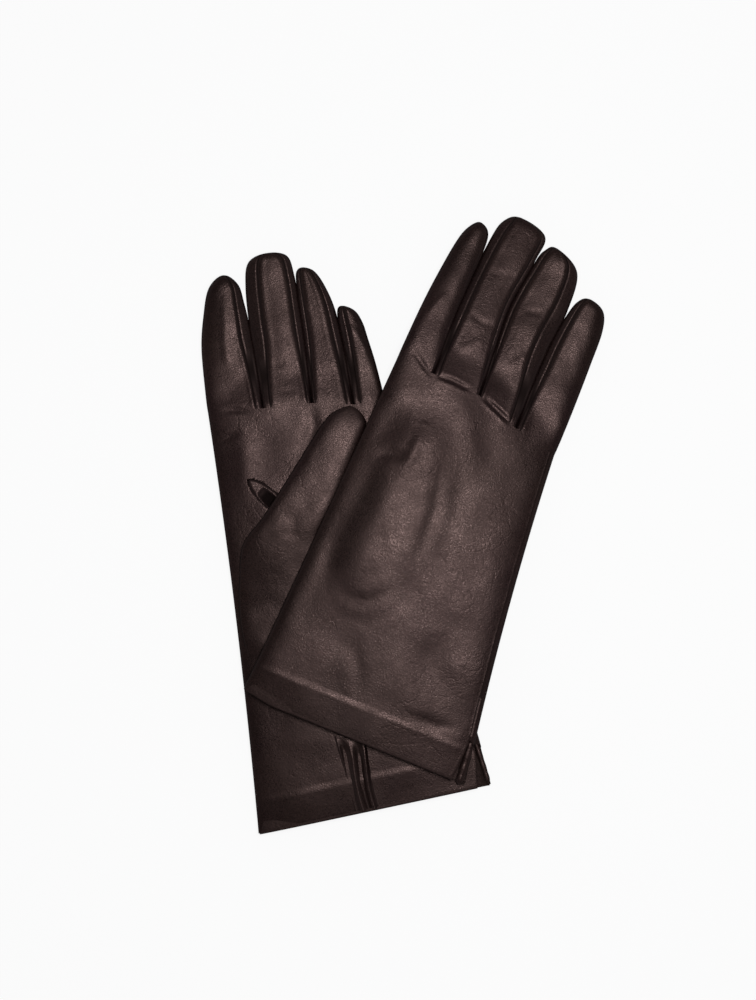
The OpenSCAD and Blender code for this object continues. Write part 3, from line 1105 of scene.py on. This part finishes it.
@dataclass
class Thumb(Stall):
    """A thumb folded flat against the palm: the gore sewn in the palm's thumb hole, then the stall."""

    gore_share: float = 0.45
    hinge: Point = (-40.0, 100.0)
    hinge_run: float = 14.0

    def node(self, part: str) -> str:
        """Name of one of the thumb's CAD nodes."""
        return f"{self.hand.side}_thumb_{part}"

    def gore(self) -> bpy.types.Object:
        """Lay the gore, a low swelling sewn down on both sides.

        Returns:
            The gore.
        """
        sheet = Sheet(self.node("gore"), 56, 64)
        up = self.on_palm
        angle = mix(180.0, 0.0, sheet.across) * up
        s = mix(0.0, self.gore_share, sheet.along)
        u, v, _, _ = self.section(s, angle, np.zeros(s.shape))
        left, right = self.outline(s)
        edge = np.minimum(np.hypot(*(left.T - (u, v))), np.hypot(*(right.T - (u, v))))
        seam = bump(edge / 0.5) * ease((self.gore_share - s) / 0.05)
        folds = self.slackness * slack(u * 1.8, v * 1.8, self.seed)
        for one in self.creases:
            folds = folds + one.relief(u, v)
        u, v, z, _ = self.section(s, angle, 0.3 * seam - folds)
        place = self.hand.place
        sheet.lay(place.points(u, v, z), place.points(u, v, z - up))
        # Painted shade down in the gore's seams.
        sheet.paint_shade(PAINTED_SEAM_SHADE * seam)
        sheet.thicken(0.3)
        return sheet.dress(Finish.GLOVE, self.node("gore"))

    def build(self) -> list[bpy.types.Object]:
        """Lay the thumb's pieces.

        Returns:
            The gore and the stall.
        """
        seam = 180.0 + 90.0 * self.on_palm
        part = (self.gore_share, TIP_END)
        stall = self.strip(seam - 360.0, seam, 84, 96, Finish.GLOVE, self.node("stall"), part)
        return [self.turn(self.gore()), self.turn(stall)]

    def turn(self, piece: bpy.types.Object) -> bpy.types.Object:
        """Bake a piece's place into its mesh; the ends of its hinge along the folded edge of the hand are
        found, but nothing turns.

        Args:
            piece: The piece.

        Returns:
            The piece.
        """
        u = self.hinge[0] + np.array([0.0, self.hinge_run])
        ends = self.hand.place.points(u, np.full(2, self.hinge[1]), np.zeros(2))
        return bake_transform(piece)


@dataclass
class Quirk:
    """The small diamond at the head of the thumb hole, down in its pit."""

    hand: Hand
    pit: Pit
    up: float
    half_w: float = 4.3

    def build(self) -> bpy.types.Object:
        """Lay the diamond.

        Returns:
            The diamond.
        """
        node = f"{self.hand.side}_thumb_quirk"
        sheet = Sheet(node, 40, 64)
        (u0, v0), (u1, v1) = self.pit.ends
        run = math.dist(*self.pit.ends)
        along = mix(0.01, 0.97, sheet.along)
        across = 2 * sheet.across - 1
        width = self.half_w * (4 * along * (1 - along)) ** 0.6
        u = mix(u0, u1, along) - across * width * (v1 - v0) / run
        v = mix(v0, v1, along) + across * width * (u1 - u0) / run
        seam = bump((1 - np.abs(across)) * width / 0.75)
        hole = np.clip((along - 0.26) / 0.3, 0.0, 1.0) * (1 - ease((np.abs(across + 0.08) - 0.3) / 0.4))
        rise = self.hand.relief(u, v, np.full(u.shape, self.up)) + 0.25 - 0.5 * seam
        rise = rise - self.pit.depth * 0.8 * hole
        rise = rise + sum(pit.depth * pit.inside(u, v) for pit in self.hand.pits)
        z = self.hand.surface(u, v, self.up) + self.up * rise
        place = self.hand.place
        sheet.lay(place.points(u, v, z), place.points(u, v, z - self.up))
        # Painted shade in the diamond's seam and down in its hole.
        sheet.paint_shade(np.maximum(0.95 * seam, 2.5 * hole if self.pit.depth else 0.0))
        sheet.thicken(0.3)
        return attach(sheet.dress(Finish.GLOVE, node), f"{self.hand.side}_hand")


@dataclass
class Gusset:
    """The narrow pleated insert in the palm at the hem."""

    hand: Hand
    up: float
    left: Path = ((-8.9, 0.3), (-10.0, 18.0), (-11.6, 36.0))
    right: Path = ((2.2, 0.3), (1.6, 14.0), (2.6, 31.0))
    pleats: float = 2.5

    def build(self) -> bpy.types.Object:
        """Lay the insert.

        Returns:
            The insert.
        """
        node = f"{self.hand.side}_palm_gusset"
        sheet = Sheet(node, 54, 48)
        start, end = curve(self.left, sheet.along), curve(self.right, sheet.along)
        u, v = (mix(start, end, sheet.across[:, None])).T
        sway = 0.16 * np.sin(sheet.along * 4.0 + 0.8) + 0.1 * np.sin(sheet.across * 5.0 + 1.0)
        wave = np.cos((sheet.across * self.pleats + sway) * 2 * math.pi)
        edge = np.minimum(sheet.across, 1 - sheet.across) * (end - start)[:, 0]
        pleat = 0.8 * wave * ease((1 - sheet.along) * 4.0) * ease(edge / 1.6 + 0.1)
        rise = 0.7 + pleat - 0.75 * bump(edge / 0.6)
        z = self.hand.surface(u, v, self.up) + self.up * rise
        place = self.hand.place
        sheet.lay(place.points(u, v, z), place.points(u, v, z - self.up))
        # Painted shade in the valleys of the pleats and along the sunk edges.
        sheet.paint_shade(0.7 * ease((0.25 - rise) / 0.5))
        sheet.thicken(0.35)
        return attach(sheet.dress(Finish.GLOVE, node), f"{self.hand.side}_hand")


@dataclass
class Facing:
    """The hem turned in: a roll at the edge and a band behind it."""

    hand: Hand
    roll: float = 0.55
    roll_from: float = 0.55
    roll_to: float = 0.95

    def build(self) -> bpy.types.Object:
        """Lay the band and its roll.

        Returns:
            Both, as one piece.
        """
        hand = self.hand
        node = f"{hand.side}_hem_facing"
        sheet = Sheet(node, 190, 26)
        start, end = hand.seam_angles(np.zeros(sheet.across.shape))
        even = spread(float(start[0]), float(end[0]), sheet.across, hand.hem_half / hand.half_t, 0.8)
        turn = np.clip((sheet.along - self.roll_from) / (self.roll_to - self.roll_from), 0.0, 1.0) * math.pi
        back = np.clip(1.0 - sheet.along / self.roll_from, 0.0, 1.0)
        over = np.clip((sheet.along - self.roll_to) / (1.0 - self.roll_to), 0.0, 1.0)
        v = back * (hand.hem_depth - 0.5) - self.roll * np.sin(turn) + over * 0.9
        depth = LEATHER / 2 + self.roll * np.cos(turn) * 1.05 + 0.2 * back
        depth = depth - 0.42 * (1 - back) * np.sin(turn / 2)
        flank = np.abs(np.cos(np.radians(even))) ** 6
        depth = np.where(depth < LEATHER, mix(depth, LEATHER, flank), depth)
        length = hand.crease_v(np.zeros(v.shape))
        u, v, z = hand.skin(v / length, even, depth)
        behind = np.maximum(v, 0.6)
        inner, _, middle = hand.skin(behind / length, even, np.full(v.shape, LEATHER / 2))
        place = hand.place
        sheet.lay(place.points(u, v, z), place.points(inner, behind, middle))
        sheet.thicken(0.25)
        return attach(sheet.dress(Finish.FACING, node), f"{hand.side}_hand")


@dataclass
class Welt:
    """The rolled edge of the side vent."""

    hand: Hand
    path: Path
    radius: float
    up: float

    def build(self) -> bpy.types.Object:
        """Lay the roll.

        Returns:
            The roll.
        """
        node = f"{self.hand.side}_side_vent_welt"
        sheet = Sheet(node, 20, 40)
        line = curve(self.path, sheet.along)
        turn = sheet.across * 2 * math.pi
        ends = np.sqrt(np.clip(1.0 - (2 * sheet.along - 1) ** 8, 0.02, 1.0))
        size = self.radius * ends * (1.0 + 0.06 * np.sin(sheet.along * 23.0))
        u = line[:, 0] + size * np.cos(turn)
        base = self.hand.lift(*line.T) + self.up
        z = base + 0.62 * size * np.sin(turn)
        place = self.hand.place
        sheet.lay(place.points(u, line[:, 1], z), place.points(line[:, 0], line[:, 1], base))
        sheet.weld()
        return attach(sheet.dress(Finish.GLOVE, node), f"{self.hand.side}_hand")


@dataclass
class Glove:
    """One glove: its hand, fingers, thumb and trims."""

    hand: Hand
    fingers: tuple[Finger, ...]
    thumb: Thumb
    trims: tuple[Quirk | Gusset | Facing | Welt, ...]

    def build(self) -> None:
        """Lay every piece of the glove."""
        self.hand.build()
        for finger in self.fingers:
            finger.build()
        self.thumb.build()
        for trim in self.trims:
            trim.build()


RIGHT_PLACE = Place((-20.9, -95.5), -22.2)
LEFT_PLACE = Place((-11.9, -127.2), 12.0)

RIGHT_FOLDS = (
    Crease(((-29.0, 164.4), (-20.1, 164.8), (-9.5, 164.0)), 0.5, 1.0, 0.4),
    Crease(((-5.8, 163.6), (3.0, 160.5), (12.6, 156.6)), 0.55, 1.0, 0.4),
    Crease(((-45.4, 173.0), (-37.9, 168.5), (-28.4, 162.0)), 0.35, 1.0, 0.45),
    Crease(((-37.5, 155.0), (-38.5, 120.0), (-40.0, 85.0), (-43.0, 40.0), (-44.5, 20.0)), 0.36, 5.5, 0.25),
    Crease(((-15.8, 135.0), (-9.5, 124.0), (-5.6, 107.8), (-4.7, 90.2), (-7.4, 74.7)), 0.22, 3.0, 0.45),
    Crease(((-7.0, 74.0), (-12.5, 65.4), (-18.8, 58.8), (-27.3, 57.6), (-36.6, 62.8)), 0.2, 2.8, 0.45),
    Crease(((-41.0, 119.0), (-33.8, 124.2), (-24.3, 126.4)), 0.45, 2.6, 0.45),
    Crease(((-26.5, 112.0), (-24.4, 128.0), (-23.6, 146.0)), 0.4, 2.6, 0.5, Fold.RIDGE),
    Crease(((-18.5, 44.0), (-10.6, 29.0), (-5.3, 17.0)), 0.16, 3.2, 0.5),
    Crease(((10.4, 19.0), (31.0, 19.3), (45.7, 23.2)), 0.25, 2.4, 0.5),
    Crease(((14.0, 62.0), (20.6, 44.0), (32.0, 28.0)), 0.5, 8.0, 0.4),
    Crease(((-26.0, 168.0), (-8.0, 150.0), (6.0, 128.0)), 0.35, 6.0, 0.45, Fold.RIDGE),
)
LEFT_FOLDS = (
    Crease(((-32.5, 189.2), (-24.8, 188.2), (-16.2, 185.6)), 0.35, 1.4, 0.5),
    Crease(((-37.1, 176.0), (-30.9, 176.5), (-22.2, 178.3)), 0.35, 1.5, 0.5),
    Crease(((9.6, 184.7), (8.8, 173.9), (0.7, 161.0)), 0.35, 2.8, 0.4),
    Crease(((-22.0, 186.0), (-24.0, 168.0), (-30.0, 140.0)), 0.45, 5.0, 0.45, Fold.RIDGE),
)


def right_glove() -> Glove:
    """Describe the upper glove, back up, draped over the other one with its thumb tucked under.

    Returns:
        The glove.
    """
    start, end = (LEFT_PLACE.on_table(*p) for p in ((53.5, 0.0), (42.3, 179.5)))
    thumb_left = ((-25, 58), (-32, 70), (-34.5, 90), (-34, 112), (-31.5, 130), (-29, 142), (-22, 151))
    thumb_right = ((-19, 57), (-9, 70), (-6.5, 90), (-7, 112), (-10, 130), (-14, 143), (-22, 151))
    hand = Hand(
        side="right",
        place=RIGHT_PLACE,
        bed=Slope(7.2, (start, end), 100.0),
        crease=((-47.0, 162.5), (-29.4, 164.5), (-6.4, 163.2), (14.2, 156.0), (34.8, 151.0)),
        bow=(0.2, 1.9),
        hem_left=1.1,
        corner=2.0,
        creases=RIGHT_FOLDS,
        crowded_rows=((0.0, 0.04, 1.5), (0.1, 0.05, 0.6), (1.0, 0.08, 0.8)),
        lump=Lump(thumb_left[:-1], thumb_right[:-1], 3.5),
    )
    fingers = (
        Finger(
            "index", hand,
            ((-47.0, 162.5), (-45.8, 190), (-44.2, 208), (-42, 224), (-39.5, 231.5), (-35.4, 235.6)),
            ((-29.4, 164.5), (-30.4, 188), (-30.05, 207), (-29.4, 224), (-30.6, 232.5), (-35.4, 235.6)),
            seams=Seams(15.0, 165.0), seed=1.3,
            creases=(
                Crease(((-44.4, 172.3), (-37.9, 168.5), (-29.0, 162.7)), 0.23, 1.6),
                Crease(((-37.1, 201.0), (-41.0, 192.0), (-40.4, 187.0)), 0.17, 1.6, fold=Fold.RIDGE),
            ),
        ),
        Finger(
            "middle", hand,
            ((-29.4, 164.5), (-30.4, 188), (-30.05, 207), (-28.4, 230), (-26, 240), (-19.5, 244.4)),
            ((-6.4, 163.2), (-8.1, 186), (-9, 206.5), (-6.1, 229), (-6.3, 240.8), (-19.5, 244.4)),
            seams=Seams(36.0, 127.0), seed=2.1,
            creases=(
                Crease(((-23.4, 178.6), (-17.7, 183.2), (-12.3, 188.5)), 0.19, 1.8, fold=Fold.RIDGE),
                Crease(((-24.1, 215.6), (-16.6, 217.8), (-10.2, 218.9)), 0.15, 1.1),
                Crease(((-25.2, 196.1), (-17.5, 193.9), (-10.2, 194.7)), 0.17, 1.3),
            ),
        ),
        Finger(
            "ring", hand,
            ((-6.4, 163.2), (-8.1, 186), (-9, 206.5), (-6.1, 227), (-4, 234.5), (1, 237.8)),
            ((14.2, 156.0), (13.8, 178), (14.3, 196.5), (15.8, 213), (13.4, 231), (1, 237.8)),
            seams=Seams(66.5, 141.0), seed=3.3,
            creases=(
                Crease(((0.2, 178.4), (4.9, 185.6), (6.2, 189.9)), 0.19, 1.8, fold=Fold.RIDGE),
                Crease(((-2.7, 206.1), (2.1, 207.3), (6.3, 208.2)), 0.15, 1.1),
            ),
        ),
        Finger(
            "little", hand,
            ((14.2, 156.0), (13.8, 178), (14.3, 196.5), (16.2, 211), (18.6, 219), (23, 222.3)),
            ((34.8, 151.0), (34.8, 175), (34.4, 195), (33.7, 211), (30.5, 219.5), (23, 222.3)),
            seams=Seams(0.0, 127.5), seed=4.7,
        ),
    )
    thumb = Thumb(
        "thumb", hand, thumb_left, thumb_right, half_t=1.5, root_t=0.4, on_palm=-1.0, root_run=12.0,
        gore_share=0.34, hinge=(-36.0, 82.0), seed=5.1,
    )
    pit = Pit(((-26.0, 157.5), (-16.0, 144.0)), 3.3, 0.0)
    trims = (
        Facing(hand),
        Welt(hand, ((48.6, 19.1), (49.7, 8.5), (50.5, -1.5)), 1.9, 2.7),
        Gusset(hand, -1.0),
        Quirk(hand, pit, -1.0),
    )
    return Glove(hand, fingers, thumb, trims)


def left_glove() -> Glove:
    """Describe the lower glove, palm up, with its thumb folded across the palm.

    Returns:
        The glove.
    """
    pit = Pit(((-24.8, 156.2), (-9.4, 135.2)), 3.6, 4.2)
    hand = Hand(
        side="left",
        place=LEFT_PLACE,
        bed=Slope(),
        crease=((-36.6, 187.0), (-11.9, 186.3), (10.1, 184.0), (28.1, 179.5), (42.4, 178.5)),
        bow=(1.4, 0.0),
        creases=LEFT_FOLDS,
        crowded_rows=((0.0, 0.04, 1.5), (0.1, 0.05, 0.6), (0.8, 0.05, 0.8), (1.0, 0.08, 0.8)),
        pits=(pit,),
        seed=2.9,
    )
    fingers = (
        Finger(
            "index", hand,
            ((-36.6, 187.0), (-35.7, 198), (-33.3, 218), (-29.5, 232), (-24.5, 244), (-17, 248.5)),
            ((-11.9, 186.3), (-10.95, 204.5), (-10.2, 223), (-10.4, 234), (-11.4, 243), (-17, 248.5)),
            seams=Seams(57.7, 165.0), seed=6.3,
            creases=(
                Crease(((-29.5, 188.9), (-24.8, 188.2), (-19.2, 186.4)), 0.23, 1.4),
                Crease(
                    ((-16.4, 244.0), (-20.2, 229.6), (-22.6, 215.7), (-23.3, 203.8)),
                    0.23, 2.2, fold=Fold.RIDGE,
                ),
            ),
        ),
        Finger(
            "middle", hand,
            ((-11.9, 186.3), (-10.95, 204.5), (-10.2, 223), (-8.2, 241), (-4.8, 251.5), (3.5, 254.2)),
            ((10.1, 184.0), (12, 206), (13.6, 227), (14.2, 242), (12.6, 251.3), (3.5, 254.2)),
            seams=Seams(47.6, 115.5), seed=7.9,
            creases=(
                Crease(((-3.8, 205.0), (2.6, 204.0)), 0.15, 1.2),
                Crease(((-3.6, 191.8), (4.6, 190.6)), 0.17, 1.3),
            ),
        ),
        Finger(
            "ring", hand,
            ((10.1, 184.0), (12, 206), (13.6, 227), (14.6, 239), (16, 243.5), (19, 244.5)),
            ((28.1, 179.5), (29.2, 205), (29, 222), (26.9, 233.4), (23.5, 241.5), (19, 244.5)),
            seams=Seams(61.2, 134.0), seed=8.4,
            creases=(Crease(((14.7, 235.4), (15.6, 228.0), (17.4, 222.8)), 0.15, 1.3, fold=Fold.RIDGE),),
        ),
        Finger(
            "little", hand,
            ((28.1, 179.5), (28.75, 194), (29.15, 207), (29.3, 217), (30.4, 223), (33.2, 223.8)),
            ((42.4, 178.5), (41.7, 195), (40.6, 207), (39.8, 214.5), (37.6, 220.5), (33.2, 223.8)),
            seams=Seams(0.0, 105.6), seed=9.2,
            creases=(Crease(((34.0, 215.7), (37.1, 207.8), (40.1, 199.3)), 0.17, 1.5, fold=Fold.RIDGE),),
        ),
    )
    thumb = Thumb(
        "thumb", hand,
        (
            (-41, 76.5), (-41.9, 81), (-42.2, 86), (-41.4, 99), (-38.6, 113), (-33.5, 128), (-22, 138.5),
            (-9, 151.5), (4, 165), (13, 174), (19, 178), (27.5, 178.8),
        ),
        (
            (-30, 75), (-19.5, 77.5), (-13, 82), (-9, 97), (-5, 111), (1, 125), (9, 136),
            (17, 147), (24.5, 157.5), (30, 166), (32.1, 171.5), (27.5, 178.8),
        ),
        half_t=1.6, root_t=0.35, on_palm=1.0, root_run=27.0, power=3.8, gore_share=5 / 11, seed=3.9,
        creases=(Crease(((-10.5, 138.9), (-9.3, 132.6), (-12.5, 125.7)), 0.22, 3.4),),
    )
    trims = (
        Facing(hand),
        Welt(hand, ((50.2, 20.6), (51.3, 11.0), (52.3, 0.6)), 1.2, 3.1),
        Gusset(hand, 1.0),
        Quirk(hand, pit, 1.0),
    )
    return Glove(hand, fingers, thumb, trims)


@dataclass(frozen=True)
class Studio:
    """The plain table, the soft window light and the camera straight above, in metres."""

    centre: Point = (-0.0106, 0.0114)
    height: float = 2.0
    lens: float = 106.7
    table_size: float = 12.0
    table_drop: float = 0.0008
    window_at: tuple[float, float, float] = (0.06, 0.035, 0.75)
    window_size: float = 0.22
    window_power: float = 1.57
    fill: Point = (0.4, 0.05)

    def table(self) -> bpy.types.Object:
        """Lay the white table, which shows only the soft shadow.

        Returns:
            The table.
        """
        bpy.ops.mesh.primitive_plane_add(size=self.table_size, location=(0.0, 0.0, -self.table_drop))
        floor = bpy.context.object
        floor.name = "table"
        white = bpy.data.materials.new("white_table")
        tree = Tree(white)
        paper = tree.add("ShaderNodeBsdfDiffuse", Color=(0.9, 0.9, 0.9, 1.0))
        glow = tree.add("ShaderNodeEmission", Color=(1.0, 1.0, 1.0, 1.0), Strength=1.12)
        seen = tree.add("ShaderNodeMixShader", Fac=0.8)
        dim = tree.add("ShaderNodeBsdfDiffuse", Color=(0.3, 0.3, 0.3, 1.0))
        path = tree.add("ShaderNodeLightPath")
        blend = tree.add("ShaderNodeMixShader")
        output = tree.add("ShaderNodeOutputMaterial")
        tree.wire(
            (paper, "BSDF", seen, 1),
            (glow, "Emission", seen, 2),
            (path, "Is Camera Ray", blend, "Fac"),
            (dim, "BSDF", blend, 1),
            (seen, "Shader", blend, 2),
            (blend, "Shader", output, "Surface"),
        )
        floor.data.materials.append(white)
        return floor

    def window(self) -> bpy.types.Object:
        """Hang the soft round light above the pair.

        Returns:
            The light.
        """
        bpy.ops.object.light_add(type="AREA", location=self.window_at)
        light = bpy.context.object
        light.name = "window"
        light.data.shape = "DISK"
        light.data.size = self.window_size
        light.data.energy = self.window_power
        light.visible_camera = False
        return light

    def world(self) -> None:
        """Fill the room with soft light, stronger from the sides than from above."""
        room = bpy.data.worlds.new("room")
        tree = Tree(room)
        way = tree.add("ShaderNodeTexCoord")
        height = tree.add("ShaderNodeSeparateXYZ")
        fall = tree.remap(height, "Z", (0.0, 1.0), self.fill)
        back = tree.add("ShaderNodeBackground", Color=(0.95, 0.97, 1.0, 1.0))
        output = tree.add("ShaderNodeOutputWorld")
        tree.wire(
            (way, "Generated", height, "Vector"),
            (fall, "Result", back, "Strength"),
            (back, "Background", output, "Surface"),
        )
        bpy.context.scene.world = room

    def camera(self) -> None:
        """Hang the camera above the pair and look straight down."""
        bpy.ops.object.camera_add(location=(*self.centre, self.height), rotation=(0.0, 0.0, 0.0))
        eye = bpy.context.object
        eye.name = "eye"
        eye.data.sensor_fit = "VERTICAL"
        eye.data.sensor_height = 24.0
        eye.data.lens = self.lens
        bpy.context.scene.camera = eye

    def build(self) -> None:
        """Set the stage and the view."""
        self.table()
        self.window()
        self.world()
        self.camera()
        bpy.context.scene.view_settings.view_transform = "Standard"


def main() -> None:
    """Build both gloves and the stage."""
    logging.basicConfig(level=logging.INFO, format="%(message)s")
    for glove in (left_glove(), right_glove()):
        glove.build()
    Studio().build()


if __name__ == "__main__":
    main()
